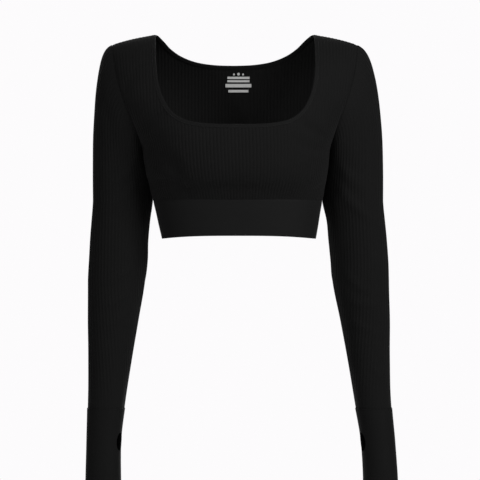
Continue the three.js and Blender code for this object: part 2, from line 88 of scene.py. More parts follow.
# Body levels from the hem to the shoulder seam: heights at the centre line and at the edge,
# then the depth, the oval's half width and the edge's half width, in front and behind.
LEVELS = np.array([
    [-301.5, -306, 84.5, 114.8, 114.8, 74, 114.8, 114.8],
    [-284, -286, 87, 118.9, 118.9, 75.5, 118.9, 118.9],
    [-266, -267, 90, 122.4, 122.4, 77.5, 122.4, 122.4],
    [-249, -249, 93, 126.3, 126.3, 80, 126.3, 126.3],
    [-238, -238, 101, 128.8, 128.8, 81.5, 128.8, 128.8],
    [-222, -222, 112.5, 132.2, 132.2, 84.5, 132.2, 132.2],
    [-200, -200, 119, 136.4, 136.4, 90.5, 136.4, 136.4],
    [-174, -172, 118.5, 140.3, 140.3, 97, 140.3, 140.3],
    [-152, -156, 115.5, 147.9, 144.2, 100.5, 153.9, 146.5],
    [-123, -132, 108.5, 161.6, 152.8, 102, 173, 157.5],
    [-88, -101, 95.5, 180.3, 165.5, 97.5, 194, 169.5],
    [-52, -66, 78, 189.2, 176, 85, 201, 178],
    [-22, -39.5, 54.5, 192.5, 181, 64, 199, 182],
    [-3.5, -23.5, 28.5, 191.5, 183.3, 35, 194, 183.5],
    [4.3, -16.3, 0, 192, 184, 0, 192, 184],
])
CENTRE_Z, EDGE_Z = 0, 1
HEM, BAND_TOP, UNDERARM, SHOULDER = 0, 3, 7, len(LEVELS) - 1
FACES = {
    "front": {"facing": -1, "power": 2.5, "depth": 2, "oval": 3, "edge": 4, "ribs": 41},
    "back": {"facing": 1, "power": 2.3, "depth": 5, "oval": 6, "edge": 7, "ribs": 37},
}

# How the body hangs: off its centre line below the chest, and turned a little
CENTRE_X = -2.2
LEAN_START = -120
LEAN = 0.0345
TURN = 0.03

# Neckline: half width and height, from the shoulder seam to the centre line
NECKLINE = {
    "front": np.array([
        [118.5, -1.2], [118, -29], [116.7, -55], [113.4, -79], [106.7, -100.5],
        [95.2, -119.6], [77.4, -132.3], [54, -138], [27, -140], [0, -140],
    ]),
    "back": np.array([
        [118.5, -1.2], [113.6, -2.2], [106, -7.8], [95, -18], [79, -27.8],
        [57, -35.5], [29.5, -39.5], [0, -40.5],
    ]),
}
NECK_STEPS = {"front": 120, "back": 96}
NECK_COVER = 3.0
NECK_BOTTOM = 40
BINDING_WIDTH = 6.5
BINDING_RAISE = 0.95
BINDING_DEPTH = 1.75

# Sleeve rings: height, inner and outer edge of the wearer's left and right, centre y, half depth
RINGS = np.array([
    [-249, 130.5, 221.5, 126, 215.4, 18, 49],
    [-279, 136.8, 224, 129.8, 217.3, 18.5, 48],
    [-309, 139.3, 227, 132.2, 219.7, 18, 46.5],
    [-339, 142.2, 229.6, 132.9, 221.7, 17.5, 45.3],
    [-369, 145.2, 230.8, 136.9, 223.5, 17, 44],
    [-429, 156.9, 232.1, 146.7, 223.5, 13, 40],
    [-489, 167.8, 232.1, 156.6, 222.9, 7, 35],
    [-549, 177.6, 233, 165.6, 222.6, 0, 30],
    [-609, 187.4, 237.4, 172.4, 223, -7, 26.5],
    [-671, 190.8, 241.1, 172.5, 223.9, -14, 26],
])
RING_POWER = 2.15
RING_SKEW = 0.15
UPPER_ARM_Z = -249
CUFF_TOP = -560
CUFF_END = -671
HOLE_Z = -609
HOLE_HALF_HEIGHT = 13.5
HOLE_HALF_WIDTH = 8.5
HOLE_ANGLE = math.radians(158)

# How the sleeve leaves the armhole, from the shoulder to the underarm: out, away, down,
# the start and end handles, and how far the end handle stands out
CAP_TOP = [0.965, 0, 0.26, 0.068, 0.88, 2]
CAP_BOTTOM = [-0.14, 0, 0.99, 0.25, 0.4, 0.3]
CAP = {
    "front": np.array([
        CAP_TOP,
        [0.84, -0.12, 0.52, 0.16, 0.68, 1],
        [0.66, -0.12, 0.74, 0.24, 0.52, 0],
        [0.3, 0, 0.95, 0.25, 0.42, 1],
        CAP_BOTTOM,
    ]),
    "back": np.array([
        CAP_TOP,
        [0.82, 0.2, 0.52, 0.16, 0.68, 1],
        [0.6, 0.22, 0.74, 0.24, 0.52, 0],
        [-0.1, 0.1, 0.97, 0.25, 0.42, -1.5],
        CAP_BOTTOM,
    ]),
}
SIDES = {"left": 1, "right": -1}

# Grids: steps along curves and tables, spacing of rows, and small steps for slopes
CURVE_STEPS = 150
ARMHOLE_STEPS = 90
LEVEL_STEPS = 260
BODY_ROW_SPACING = 4.1
SLEEVE_ROW_SPACING = 4.6
CAP_ROWS = 34
CAP_ROW_BIAS = 1.25
CAP_LENGTH = 60
DIFFERENCE = 0.01
NECK_DIFFERENCE = 0.5
RING_DIFFERENCE = 2
SEARCH_STEPS = 40
WELD = 1e-6
TINY = 1e-9

# Where the effects of an armhole begin and are in full: in levels on the body, and on the sleeve
# in shares of half its girth from the underarm and in millimetres down the cap
BODY_BESIDE_ARMHOLE = (UNDERARM - 0.3, UNDERARM + 0.3)
BODY_UP_ARMHOLE = (UNDERARM, UNDERARM + 3)
SLEEVE_OFF_UNDERARM = (0.05, 0.4)
SLEEVE_SIDE_START = (30, CAP_LENGTH)
SLEEVE_CREASE_START = (4, 30)


# Smooth values between the rows of a table
def between(rows, t):
    t = np.asarray(t, float)
    i = np.clip(np.floor(t).astype(int), 0, len(rows) - 2)
    k = (t - i)[..., None]
    a, b, c, d = (rows[np.clip(i + step, 0, len(rows) - 1)] for step in (-1, 0, 1, 2))
    linear = (c - a) * k
    square = (2 * a - 5 * b + 4 * c - d) * k**2
    cube = (3 * b - a - 3 * c + d) * k**3
    return 0.5 * (2 * b + linear + square + cube)


def smooth_share(value, low, high):
    share = np.clip((value - low) / (high - low), 0, 1)
    return share * share * (3 - 2 * share)


# What is left of a height at a distance from an edge: all of it beyond the reach
def faded(distance, reach, least=0):
    return least + (1 - least) * smooth_share(distance, 0, reach)


# A power that keeps the sign
def rounded(values, power):
    return np.sign(values) * np.abs(values) ** power


def lengths_along(points):
    steps = np.linalg.norm(np.diff(points, axis=0), axis=1)
    return np.concatenate([[0], np.cumsum(steps)])


def unit(vectors):
    return vectors / np.maximum(np.linalg.norm(vectors, axis=-1, keepdims=True), TINY)


def at_lengths(points, lengths, goals):
    return np.stack([np.interp(goals, lengths, points[:, axis]) for axis in range(3)], axis=-1)


# The body surface, made upright and then hung
def hung(face, points):
    placed = points.copy()
    below = np.maximum(0, LEAN_START - points[..., 2])
    placed[..., 0] += CENTRE_X + LEAN * below - TURN * points[..., 1]
    placed[..., 1] += FACES[face]["facing"] * SEAM_GAP / 2
    return placed


def face_points(face, half_x, t):
    sizes = FACES[face]
    level = between(LEVELS, t)
    depth, oval = level[..., sizes["depth"]], level[..., sizes["oval"]]
    inside = np.clip(1 - (half_x / oval) ** sizes["power"], 0, None)
    y = sizes["facing"] * depth * inside ** (1 / sizes["power"])
    fall = (half_x / level[..., sizes["edge"]]) ** 3
    z = level[..., CENTRE_Z] + (level[..., EDGE_Z] - level[..., CENTRE_Z]) * fall
    return np.stack([half_x + 0 * y, y, z], axis=-1)


# Level curves that were worked out are kept here, and ring curves and armholes further down.
level_curves = {}


# Half widths along one half of a level, and the cloth's length up to each
def level_curve(face, t):
    key = (face, round(float(t), 5))
    if key not in level_curves:
        sizes = FACES[face]
        level = between(LEVELS, t)
        reach = min(1, level[sizes["edge"]] / level[sizes["oval"]])
        last = math.asin(reach ** (sizes["power"] / 2))
        angles = np.linspace(0, last, CURVE_STEPS + 1)
        half_x = level[sizes["oval"]] * np.sin(angles) ** (2 / sizes["power"])
        level_curves[key] = (half_x, lengths_along(face_points(face, half_x, t)))
    return level_curves[key]


# Points of a level: parts run from -1 to 1, from the wearer's right edge to the left one
def body_row(face, parts, t):
    half_xs, lengths = level_curve(face, t)
    half_x = np.interp(np.abs(parts) * lengths[-1], lengths, half_xs)
    points = face_points(face, half_x, t)
    points[:, 0] *= np.where(parts < 0, -1, 1)
    return hung(face, points)


def body_normals(face, parts, t):
    right = body_row(face, np.minimum(parts + DIFFERENCE, 1), t)
    left = body_row(face, np.maximum(parts - DIFFERENCE, -1), t)
    upper = body_row(face, parts, min(t + DIFFERENCE, SHOULDER))
    lower = body_row(face, parts, max(t - DIFFERENCE, HEM))
    normals = np.cross(right - left, upper - lower) * -FACES[face]["facing"]
    if t <= UNDERARM:
        normals[np.abs(parts) >= 1, 1] = 0
    if t >= SHOULDER:
        normals[:, 1] = 0
    return unit(normals)


# The level at which the upright surface has a given height
def level_at(face, half_x, z):
    low, high = UNDERARM + 0 * half_x, SHOULDER + 0 * half_x
    for _ in range(SEARCH_STEPS):
        middle = (low + high) / 2
        under = face_points(face, half_x, middle)[:, 2] < z
        low, high = np.where(under, middle, low), np.where(under, high, middle)
    return (low + high) / 2


def neck_half(face):
    rows = NECKLINE[face]
    steps = np.linspace(0, len(rows) - 1, NECK_STEPS[face] // 2 + 1)
    half_x, z = between(rows, steps).T
    half_x = np.maximum(half_x, 0)
    t = level_at(face, half_x, z)
    t[0] = SHOULDER
    return half_x, t


def neck_side(face, side, half_x, t):
    def at(x, level):
        points = face_points(face, np.abs(x), np.minimum(level, SHOULDER))
        points[:, 0] *= np.sign(x)
        return hung(face, points)

    x = side * half_x
    across = at(x + NECK_DIFFERENCE, t) - at(x - NECK_DIFFERENCE, t)
    up = at(x, t + DIFFERENCE) - at(x, t - DIFFERENCE)
    normals = np.cross(across, up) * -FACES[face]["facing"]
    normals[t >= SHOULDER, 1] = 0
    return at(x, t), unit(normals)


def neck_path(face):
    half_x, t = neck_half(face)
    right_points, right_normals = neck_side(face, -1, half_x, t)
    left_points, left_normals = neck_side(face, 1, half_x[:-1][::-1], t[:-1][::-1])
    return np.vstack([right_points, left_points]), np.vstack([right_normals, left_normals])


# The neckline as a closed loop: points, normals, and the directions away from the opening
def neck_loop():
    front_points, front_normals = neck_path("front")
    back_points, back_normals = neck_path("back")
    points = np.vstack([front_points, back_points[::-1]])
    normals = np.vstack([front_normals, back_normals[::-1]])
    forward = unit(np.roll(points, -1, axis=0) - np.roll(points, 1, axis=0))
    return points, normals, unit(np.cross(forward, normals))


# The sleeve surface
def ring_sizes(side, z):
    rows = np.interp(-z, -RINGS[:, 0], np.arange(len(RINGS)))
    ring = between(RINGS, rows)
    inner, outer = (ring[1], ring[2]) if side > 0 else (ring[3], ring[4])
    skew = RING_SKEW * smooth_share(z, CUFF_TOP, UPPER_ARM_Z)
    wide = (outer - inner) / 2 - RIB_HEIGHT
    return {
        "z": z, "x": (inner + outer) / 2, "y": ring[5],
        "wide": wide, "deep": ring[6] - RIB_HEIGHT, "skew": skew,
    }


def ring_points(side, ring, angles, grow=0.0):
    power = 2 / RING_POWER
    y = -(ring["deep"] + grow) * rounded(np.sin(angles), power)
    x = ring["x"] + (ring["wide"] + grow) * rounded(np.cos(angles), power) - ring["skew"] * y
    return np.stack([side * x, ring["y"] + y, ring["z"] + 0 * x], axis=-1)


ring_curves = {}


def ring_curve(side, face, z):
    key = (side, face, round(float(z), 4))
    if key not in ring_curves:
        ring = ring_sizes(side, z)
        angles = -FACES[face]["facing"] * np.linspace(0, math.pi, CURVE_STEPS + 1)
        ring_curves[key] = (ring, angles, lengths_along(ring_points(side, ring, angles)))
    return ring_curves[key]


def ring_at(side, face, z, shares):
    ring, angles, lengths = ring_curve(side, face, z)
    return ring_points(side, ring, np.interp(shares * lengths[-1], lengths, angles))


armholes = {}


def armhole(side, face, shares):
    key = (side, face)
    if key not in armholes:
        levels = np.linspace(SHOULDER, UNDERARM, ARMHOLE_STEPS)
        points = np.vstack([body_row(face, np.array([side]), t) for t in levels])
        armholes[key] = (points, lengths_along(points))
    points, lengths = armholes[key]
    return at_lengths(points, lengths, shares * lengths[-1])


# A half row of the sleeve over one face: a row from 0 to 1 runs down the cap, others are heights
def sleeve_half_row(side, face, shares, row):
    if row < 0:
        return ring_at(side, face, row, shares)
    facing = FACES[face]["facing"]
    start = armhole(side, face, shares)
    start[:, 0] += side * JOIN_GAP
    start[:, 1] -= facing * SEAM_GAP / 2
    end = ring_at(side, face, UPPER_ARM_Z, shares)
    drop = (start[:, 2] - end[:, 2])[:, None]
    cap = between(CAP[face], shares * (len(CAP[face]) - 1))
    out = side * cap[:, 0] + LEAN * cap[:, 2]
    leave = unit(np.stack([out, facing * cap[:, 1], -cap[:, 2]], axis=-1))
    first = start + leave * cap[:, 3:4] * drop
    second = end.copy()
    second[:, 2] += cap[:, 4] * drop[:, 0]
    second[:, 0] += side * cap[:, 5]
    rest = 1 - row
    handles = 3 * rest**2 * row * first + 3 * rest * row**2 * second
    return rest**3 * start + handles + row**3 * end


# A whole row: parts run from 0 at the outer line to 1 at the inner seam in front, -1 behind
def sleeve_row(side, parts, row):
    parts = np.where(parts > 1, parts - 2, np.where(parts < -1, parts + 2, parts))
    front = sleeve_half_row(side, "front", np.abs(parts), row)
    back = sleeve_half_row(side, "back", np.abs(parts), row)
    return np.where((parts >= 0)[:, None], front, back)


def sleeve_normals(side, parts, row):
    around = sleeve_row(side, parts + DIFFERENCE, row) - sleeve_row(side, parts - DIFFERENCE, row)
    if row >= 0:
        lower, upper = min(row + DIFFERENCE, 1), max(row - DIFFERENCE, 0)
    else:
        lower = max(row - RING_DIFFERENCE, CUFF_END)
        upper = min(row + RING_DIFFERENCE, UPPER_ARM_Z)
    down = sleeve_row(side, parts, lower) - sleeve_row(side, parts, upper)
    return unit(np.cross(around, down) * -side)


# Soft creases, listed one by one. Each is a bowed trough from one place to another, with its width
# and depth, and a low ridge along both sides.
CREASE_STRENGTH = 1.35
CREASE_BOW = 0.6
CREASE_START = (-0.12, 0.3)
CREASE_END = (-0.12, 0.4)
CREASE_RIDGE = 0.7


def crease_height(creases, across, z):
    height = np.zeros_like(z)
    for x0, z0, x1, z1, width, depth in creases:
        run = np.array([x1 - x0, z1 - z0], float)
        length = np.linalg.norm(run)
        run /= length
        along = ((across - x0) * run[0] + (z - z0) * run[1]) / length
        bow = width * CREASE_BOW * np.sin(np.pi * np.clip(along, 0, 1))
        off = (across - x0) * -run[1] + (z - z0) * run[0] - bow
        taper = smooth_share(along, *CREASE_START) * smooth_share(1 - along, *CREASE_END)
        shape = np.exp(-((off / width) ** 2)) * (1 - CREASE_RIDGE * (off / width) ** 2)
        height -= CREASE_STRENGTH * depth * taper * shape
    return height


# Slow and quick waves of cloth that was worn and hung
def unevenness(across, z, strength):
    slow = np.sin(across / 31 + z / 47) * np.sin(z / 39 - across / 71 + 1.3)
    quick = np.sin(across / 13 - z / 29 + 0.6) * np.sin(z / 17 + across / 43)
    return strength * (0.7 * slow + 0.3 * quick)


BODY_CREASES = {
    "front": [
        [139, -158, 92, -128, 9, 1.5],
        [138, -174, 88, -164, 8, 1.1],
        [133, -196, 84, -206, 8, 0.8],
        [168, -92, 132, -60, 10, 0.9],
        [-140, -156, -96, -120, 10, 1.7],
        [-139, -172, -86, -158, 8, 1.3],
        [-134, -198, -78, -212, 9, 1.2],
        [-166, -96, -134, -58, 10, 1.1],
        [-128, -168, -74, -230, 15, 3.0],
        [-130, -222, -60, -240, 10, 2.6],
        [-112, -242, 96, -240, 12, 2.2],
        [134, -226, 92, -240, 7, 1.4],
    ],
    "back": [
        [141, -160, 86, -136, 10, 1.6],
        [136, -184, 74, -196, 9, 1.2],
        [-142, -158, -92, -128, 10, 1.5],
        [-137, -180, -78, -188, 8, 1.3],
        [6, -118, -4, -222, 13, 1.4],
        [-60, -214, 52, -222, 9, 0.9],
        [166, -96, 118, -62, 10, 1.0],
        [-165, -100, -122, -60, 10, 0.9],
    ],
}

# Across runs from the outer line, over the front for positive values and over the back for others
SLEEVE_CREASES = {
    "left": [
        [106, -196, 40, -238, 10, 1.6],
        [104, -226, 46, -282, 9, 1.3],
        [-104, -204, -44, -250, 10, 1.5],
        [98, -356, 52, -386, 8, 1.1],
        [96, -392, 44, -404, 8, 1.3],
        [90, -424, 40, -446, 7, 1.0],
        [-94, -368, -46, -398, 8, 1.2],
        [-88, -410, -38, -430, 8, 1.0],
        [52, -498, 8, -520, 6, 0.7],
        [-54, -508, -14, -532, 6, 0.7],
        [26, -96, 62, -160, 11, 0.9],
    ],
    "right": [
        [104, -190, 44, -232, 10, 1.8],
        [102, -222, 40, -270, 9, 1.4],
        [-102, -198, -46, -246, 10, 1.5],
        [96, -348, 44, -372, 8, 1.2],
        [92, -384, 50, -404, 8, 1.2],
        [88, -418, 36, -434, 7, 1.1],
        [-92, -362, -40, -386, 8, 1.1],
        [-86, -404, -42, -428, 8, 1.1],
        [50, -504, 12, -522, 6, 0.8],
        [-50, -500, -10, -528, 6, 0.7],
        [24, -100, 58, -156, 11, 1.0],
    ],
}


# Shares of the rib's height at the grid's columns
def rib_profile(column):
    share = (column % RIB_COLUMNS) / RIB_COLUMNS
    return np.abs(np.sin(np.pi * share)) ** RIB_FLATNESS


# How far a seam pulls the cloth in at a distance from it
def seam_dip(distance, depth, width):
    return -depth * np.exp(-((distance / width) ** 2))


def new_object(name, data):
    made = bpy.data.objects.new(name, data)
    bpy.context.scene.collection.objects.link(made)
    return made


def new_mesh(name, bm):
    mesh = bpy.data.meshes.new(name)
    bm.to_mesh(mesh)
    bm.free()
    return mesh


# Each piece shades smoothly, rides the root and has its slot.
def new_piece(name, mesh, material):
    piece = new_object(name, mesh)
    mesh.materials.append(material)
    mesh.polygons.foreach_set("use_smooth", [True] * len(mesh.polygons))
    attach(piece, "root")
    return piece


# A grid whose points are moved to the given places, row by row, with its own map in millimetres
def shaped_grid(bm, points, flat_map):
    rows, columns = points.shape[:2]
    before = len(bm.verts)
    bmesh.ops.create_grid(bm, x_segments=columns - 1, y_segments=rows - 1, size=1)
    bm.verts.ensure_lookup_table()
    uv_layer = bm.loops.layers.uv.verify()
    places = {}
    for vert in bm.verts[before:]:
        column = round((vert.co.x + 1) / 2 * (columns - 1))
        row = round((vert.co.y + 1) / 2 * (rows - 1))
        places[vert] = (row, column)
        vert.co = Vector(points[row, column]) * MM
    for face in {face for vert in places for face in vert.link_faces}:
        for loop in face.loops:
            loop[uv_layer].uv = flat_map[places[loop.vert]]


# Points that met are joined. Cut edges are sharp, so that a wall's rim doesn't shade its face.
def finish_mesh(bm, name, weld=WELD, flip=False):
    bmesh.ops.remove_doubles(bm, verts=bm.verts, dist=weld)
    bmesh.ops.dissolve_degenerate(bm, edges=bm.edges, dist=WELD / 10)
    if flip:
        bmesh.ops.reverse_faces(bm, faces=bm.faces)
    for edge in bm.edges:
        edge.smooth = not edge.is_boundary
    return new_mesh(name, bm)


def thicken(piece, thickness):
    wall = piece.modifiers.new("wall", "SOLIDIFY")
    wall.thickness = thickness * MM
    wall.offset = -1
    wall.use_rim = True
    return piece


# Materials
def node_group(name, inputs, outputs):
    group = bpy.data.node_groups.new(name, "ShaderNodeTree")
    for socket, kind, value in inputs:
        made = group.interface.new_socket(socket, in_out="INPUT", socket_type=kind)
        if value is not None:
            made.default_value = value
    for socket, kind in outputs:
        group.interface.new_socket(socket, in_out="OUTPUT", socket_type=kind)
    return group


# A node's inputs are linked to other nodes' outputs or set to values.
def feed(tree, node, inputs):
    for name, value in inputs.items():
        if hasattr(value, "is_output"):
            tree.links.new(value, node.inputs[name])
        else:
            node.inputs[name].default_value = value
    return node.outputs


def math_node(tree, operation, *values, clamp=False):
    node = tree.nodes.new("ShaderNodeMath")
    node.operation = operation
    node.use_clamp = clamp
    return feed(tree, node, dict(enumerate(values)))[0]


def group_node(tree, group, inputs):
    node = tree.nodes.new("ShaderNodeGroup")
    node.node_tree = group
    return feed(tree, node, inputs)


# Interlocking loops of knitted yarn, in rows of small V shapes, from a map in millimetres
LOOP_SLANT = 1.3
LOOP_WAVE = 0.35
LOOP_BASE = 0.6


def make_knit_group():
    inputs = [
        ("Map", "NodeSocketVector", None),
        ("Wale", "NodeSocketFloat", 1.25),
        ("Course", "NodeSocketFloat", 1.0),
    ]
    tree = node_group("knit_loops", inputs, [("Height", "NodeSocketFloat")])
    given = tree.nodes.new("NodeGroupInput")
    split = feed(tree, tree.nodes.new("ShaderNodeSeparateXYZ"), {0: given.outputs["Map"]})
    across = math_node(tree, "DIVIDE", split[0], given.outputs["Wale"])
    down = math_node(tree, "DIVIDE", split[1], given.outputs["Course"])
    share = math_node(tree, "FRACT", across)
    from_middle = math_node(tree, "ABSOLUTE", math_node(tree, "SUBTRACT", share, 0.5))
    slant = math_node(tree, "MULTIPLY", from_middle, LOOP_SLANT)
    slanted = math_node(tree, "ADD", down, slant)
    turned = math_node(tree, "MULTIPLY", slanted, 2 * math.pi)
    wave = math_node(tree, "MULTIPLY", math_node(tree, "SINE", turned), LOOP_WAVE)
    groove = math_node(tree, "POWER", math_node(tree, "MULTIPLY", from_middle, 2), 3)
    height = math_node(tree, "SUBTRACT", math_node(tree, "ADD", wave, LOOP_BASE), groove)
    feed(tree, tree.nodes.new("NodeGroupOutput"), {"Height": height})
    return tree


# Uneven dye and fine fuzz, from places in metres. Each noise has a scale and a detail.
DYE_SLOW = (14, 2)
DYE_FINE = (900, 3)
DYE_FINE_SHARE = 0.8
FUZZ = (2400, 2)


def make_dye_group():
    inputs = [("Place", "NodeSocketVector", None), ("Amount", "NodeSocketFloat", 0.2)]
    outputs = [("Tone", "NodeSocketFloat"), ("Fuzz", "NodeSocketFloat")]
    tree = node_group("uneven_dye", inputs, outputs)
    given = tree.nodes.new("NodeGroupInput")

    def noise(scale, detail):
        inputs = {"Vector": given.outputs["Place"], "Scale": scale, "Detail": detail}
        return feed(tree, tree.nodes.new("ShaderNodeTexNoise"), inputs)["Fac"]

    slow = math_node(tree, "SUBTRACT", noise(*DYE_SLOW), 0.5)
    fine = math_node(tree, "SUBTRACT", noise(*DYE_FINE), 0.5)
    both = math_node(tree, "ADD", slow, math_node(tree, "MULTIPLY", fine, DYE_FINE_SHARE))
    scaled = math_node(tree, "MULTIPLY", both, given.outputs["Amount"])
    results = {"Tone": math_node(tree, "ADD", scaled, 1), "Fuzz": noise(*FUZZ)}
    feed(tree, tree.nodes.new("NodeGroupOutput"), results)
    return tree


KNIT_LOOPS = make_knit_group()
UNEVEN_DYE = make_dye_group()
LOOP_DEPTH = 0.12
# Painted shade in the knit: how much lighter the loops' tops are painted, and how dark the gaps
# between them are painted
LOOP_PAINTED_LIGHT = 0.35
GAP_PAINTED_SHADE = 0.8
FUZZ_ROUGHNESS = 0.12
FUZZ_HEIGHT = 0.3


# Knitted cloth: its colour, width and height of a loop in millimetres, relief of the loops,
# unevenness of the dye, roughness and sheen
def knit_material(name, colour, wale, course, relief, dye, rough, sheen):
    material = bpy.data.materials.new(name)
    material.use_nodes = True
    tree = material.node_tree
    places = tree.nodes.new("ShaderNodeTexCoord")
    own_map = tree.nodes.new("ShaderNodeUVMap")
    own_map.uv_map = "UVMap"
    dyed = group_node(tree, UNEVEN_DYE, {"Amount": dye, "Place": places.outputs["Object"]})
    loops = group_node(
        tree, KNIT_LOOPS, {"Wale": wale, "Course": course, "Map": own_map.outputs["UV"]},
    )

    # Painted shade: the colour is painted darker in the gaps between the loops and a little
    # lighter on their tops, as light and shade fall on them.
    loop_and_gap_shade = math_node(tree, "MULTIPLY", loops["Height"], LOOP_PAINTED_LIGHT)
    loop_and_gap_shade = math_node(tree, "ADD", loop_and_gap_shade, GAP_PAINTED_SHADE)
    dye_and_gap_shade = math_node(tree, "MULTIPLY", dyed["Tone"], loop_and_gap_shade)
    paint = tree.nodes.new("ShaderNodeMix")
    paint.data_type = "RGBA"
    paint.blend_type = "MULTIPLY"
    paint.inputs["Factor"].default_value = 1
    paint.inputs["A"].default_value = (*colour, 1)
    tree.links.new(dye_and_gap_shade, paint.inputs["B"])

    rougher = math_node(tree, "MULTIPLY", dyed["Fuzz"], FUZZ_ROUGHNESS)
    fuzz = math_node(tree, "MULTIPLY", dyed["Fuzz"], FUZZ_HEIGHT)
    height = math_node(tree, "ADD", loops["Height"], fuzz)
    bump = {"Strength": relief, "Distance": LOOP_DEPTH * MM, "Height": height}
    feed(tree, tree.nodes["Principled BSDF"], {
        "Base Color": paint.outputs["Result"],
        "Metallic": 0,
        "Roughness": math_node(tree, "ADD", rougher, rough, clamp=True),
        "Specular IOR Level": 0.12,
        "Sheen Weight": sheen,
        "Sheen Roughness": 0.45,
        "Sheen Tint": (0.9, 0.9, 0.9, 1),
        "Normal": feed(tree, tree.nodes.new("ShaderNodeBump"), bump)["Normal"],
    })
    return material


RIB_KNIT = knit_material("rib_knit", (0.0047, 0.0047, 0.0047), 1.25, 1.1, 0.5, 0.25, 0.78, 0.03)
FINE_KNIT = knit_material("fine_knit", (0.0069, 0.0069, 0.0069), 0.7, 0.6, 0.35, 0.18, 0.68, 0.03)
EDGE_KNIT = knit_material("edge_knit", (0.0048, 0.0048, 0.0048), 0.8, 0.7, 0.4, 0.2, 0.74, 0.03)
CUFF_KNIT = knit_material("cuff_knit", (0.0031, 0.0031, 0.0031), 0.7, 0.6, 0.35, 0.18, 0.72, 0.03)
SEAM_YARN = knit_material("seam_yarn", (0.008, 0.008, 0.0082), 0.5, 0.9, 0.6, 0.2, 0.75, 0.04)
THREAD = knit_material("thread", (0.009, 0.009, 0.0092), 0.25, 0.5, 0.4, 0.15, 0.55, 0.08)
PRINT_FILM = knit_material("print_film", (0.8, 0.8, 0.79), 1.25, 1.1, 0.15, 0.05, 0.45, 0.0)


# Body panels: the levels at which the columns of a panel end, under the binding
def neck_levels(face):
    half_x, t = neck_half(face)
    points, normals = neck_side(face, 1, half_x, t)
    forward = unit(np.gradient(points, axis=0))
    sideways = unit(np.cross(forward, normals))
    # Away from the opening is outward, and low in the neckline also downward.
    outward = sideways[:, 0] - np.where(half_x < NECK_BOTTOM, sideways[:, 2], 0)
    sideways *= np.where(outward > 0, 1, -1)[:, None]
    moved = points + sideways * NECK_COVER
    upright_x = moved[:, 0] - (points[:, 0] - half_x)
    moved_t = level_at(face, np.maximum(upright_x, 0), moved[:, 2])
    moved_t[0] = SHOULDER
    order = np.argsort(upright_x)
    return upright_x[order], moved_t[order]


# The grid's columns at a level, as parts of its width and as numbers of rib columns. Ribs run
# upright, so above the underarm the columns past the armhole meet in its edge.
def panel_parts(face, t):
    own = level_curve(face, t)[1][-1]
    pitch_from = level_curve(face, UNDERARM)[1][-1] if t > UNDERARM else own
    count = RIB_COLUMNS * FACES[face]["ribs"]
    half = np.minimum(1, np.arange(count + 1) * pitch_from / count / own)
    half[-1] = 1
    parts = np.concatenate([-half[:0:-1], half])
    return parts, parts * own * count / pitch_from


# A panel's grid: places, normals, lengths to the side edge, rib columns and levels
def panel_grid(face):
    levels = np.linspace(BAND_TOP, SHOULDER, LEVEL_STEPS)
    both = np.array([panel_parts(face, t) for t in levels])
    parts, rib_columns = both[:, 0], both[:, 1]
    places = np.array([body_row(face, row, t) for row, t in zip(parts, levels)])
    normals = np.array([body_normals(face, row, t) for row, t in zip(parts, levels)])
    curves = [level_curve(face, t) for t in levels]
    totals = np.array([lengths[-1] for _, lengths in curves])[:, None]
    to_edge = (1 - np.abs(parts)) * totals
    half_x = np.array([
        np.interp(row, lengths, half_xs)
        for row, (half_xs, lengths) in zip(np.abs(parts) * totals, curves)
    ])
    stops_x, stops_t = neck_levels(face)
    top = np.interp(half_x, stops_x, stops_t, right=SHOULDER)
    over = levels[:, None] > top
    first_over = np.where(over.any(axis=0), over.argmax(axis=0), len(levels) - 1)
    columns = np.arange(parts.shape[1])
    ends = np.where(over.any(axis=0), top[first_over, columns], SHOULDER)

    # Rows are even along the column that runs up to the shoulder.
    shoulder_column = parts.shape[1] // 2 + FACES[face]["ribs"] * RIB_COLUMNS * 3 // 4
    lengths = lengths_along(places[:, shoulder_column])
    rows = int(lengths[-1] / BODY_ROW_SPACING) + 1
    row_levels = np.interp(np.linspace(0, lengths[-1], rows), lengths, levels)
    wanted = np.minimum(row_levels[:, None], ends[None, :])

    index = np.clip(np.searchsorted(levels, wanted) - 1, 0, len(levels) - 2)
    blend = (wanted - levels[index]) / (levels[index + 1] - levels[index])

    def pick(values):
        share = blend[..., None] if values.ndim == 3 else blend
        return values[index, columns] * (1 - share) + values[index + 1, columns] * share

    return pick(places), unit(pick(normals)), pick(to_edge), pick(rib_columns), wanted


def make_panel(face):
    places, normals, to_edge, rib_columns, levels = panel_grid(face)
    z = places[..., 2]
    across = places[..., 0] - CENTRE_X
    beside_armhole = smooth_share(levels, *BODY_BESIDE_ARMHOLE)
    up_armhole = smooth_share(levels, *BODY_UP_ARMHOLE)
    height = (
        seam_dip(to_edge, *BODY_SIDE_DIP) * (1 - beside_armhole)
        + seam_dip(to_edge, *BODY_ARMHOLE_DIP) * beside_armhole * up_armhole
        + seam_dip(z - LEVELS[BAND_TOP, CENTRE_Z], *BODY_BAND_DIP)
        + RIB_HEIGHT * rib_profile(rib_columns) * faded(to_edge, *RIB_FADE_AT_EDGE)
    )
    creased = crease_height(BODY_CREASES[face], across, z) + unevenness(across, z, BODY_WAVES)
    height = height + creased * faded(to_edge, BODY_CREASE_FADE)
    points = places + normals * height[..., None]
    flat_map = np.stack([rib_columns * RIB_PITCH / RIB_COLUMNS, z], axis=-1)
    bm = bmesh.new()
    shaped_grid(bm, points, flat_map)
    mesh = finish_mesh(bm, f"body_{face}", flip=face == "back")
    return thicken(new_piece(f"rib_body_{face}", mesh, RIB_KNIT), CLOTH)


# Sleeves: a row's columns as parts of half its girth, which meet in the inner seam as it narrows
def sleeve_parts(side, row):
    upper = ring_curve(side, "front", UPPER_ARM_Z)[2][-1]
    own = ring_curve(side, "front", row)[2][-1] if row < 0 else upper
    count = RIB_COLUMNS * SLEEVE_RIBS
    half = np.minimum(1, np.arange(count + 1) * upper / count / own)
    half[-1] = 1
    return np.concatenate([-half[:0:-1], half])


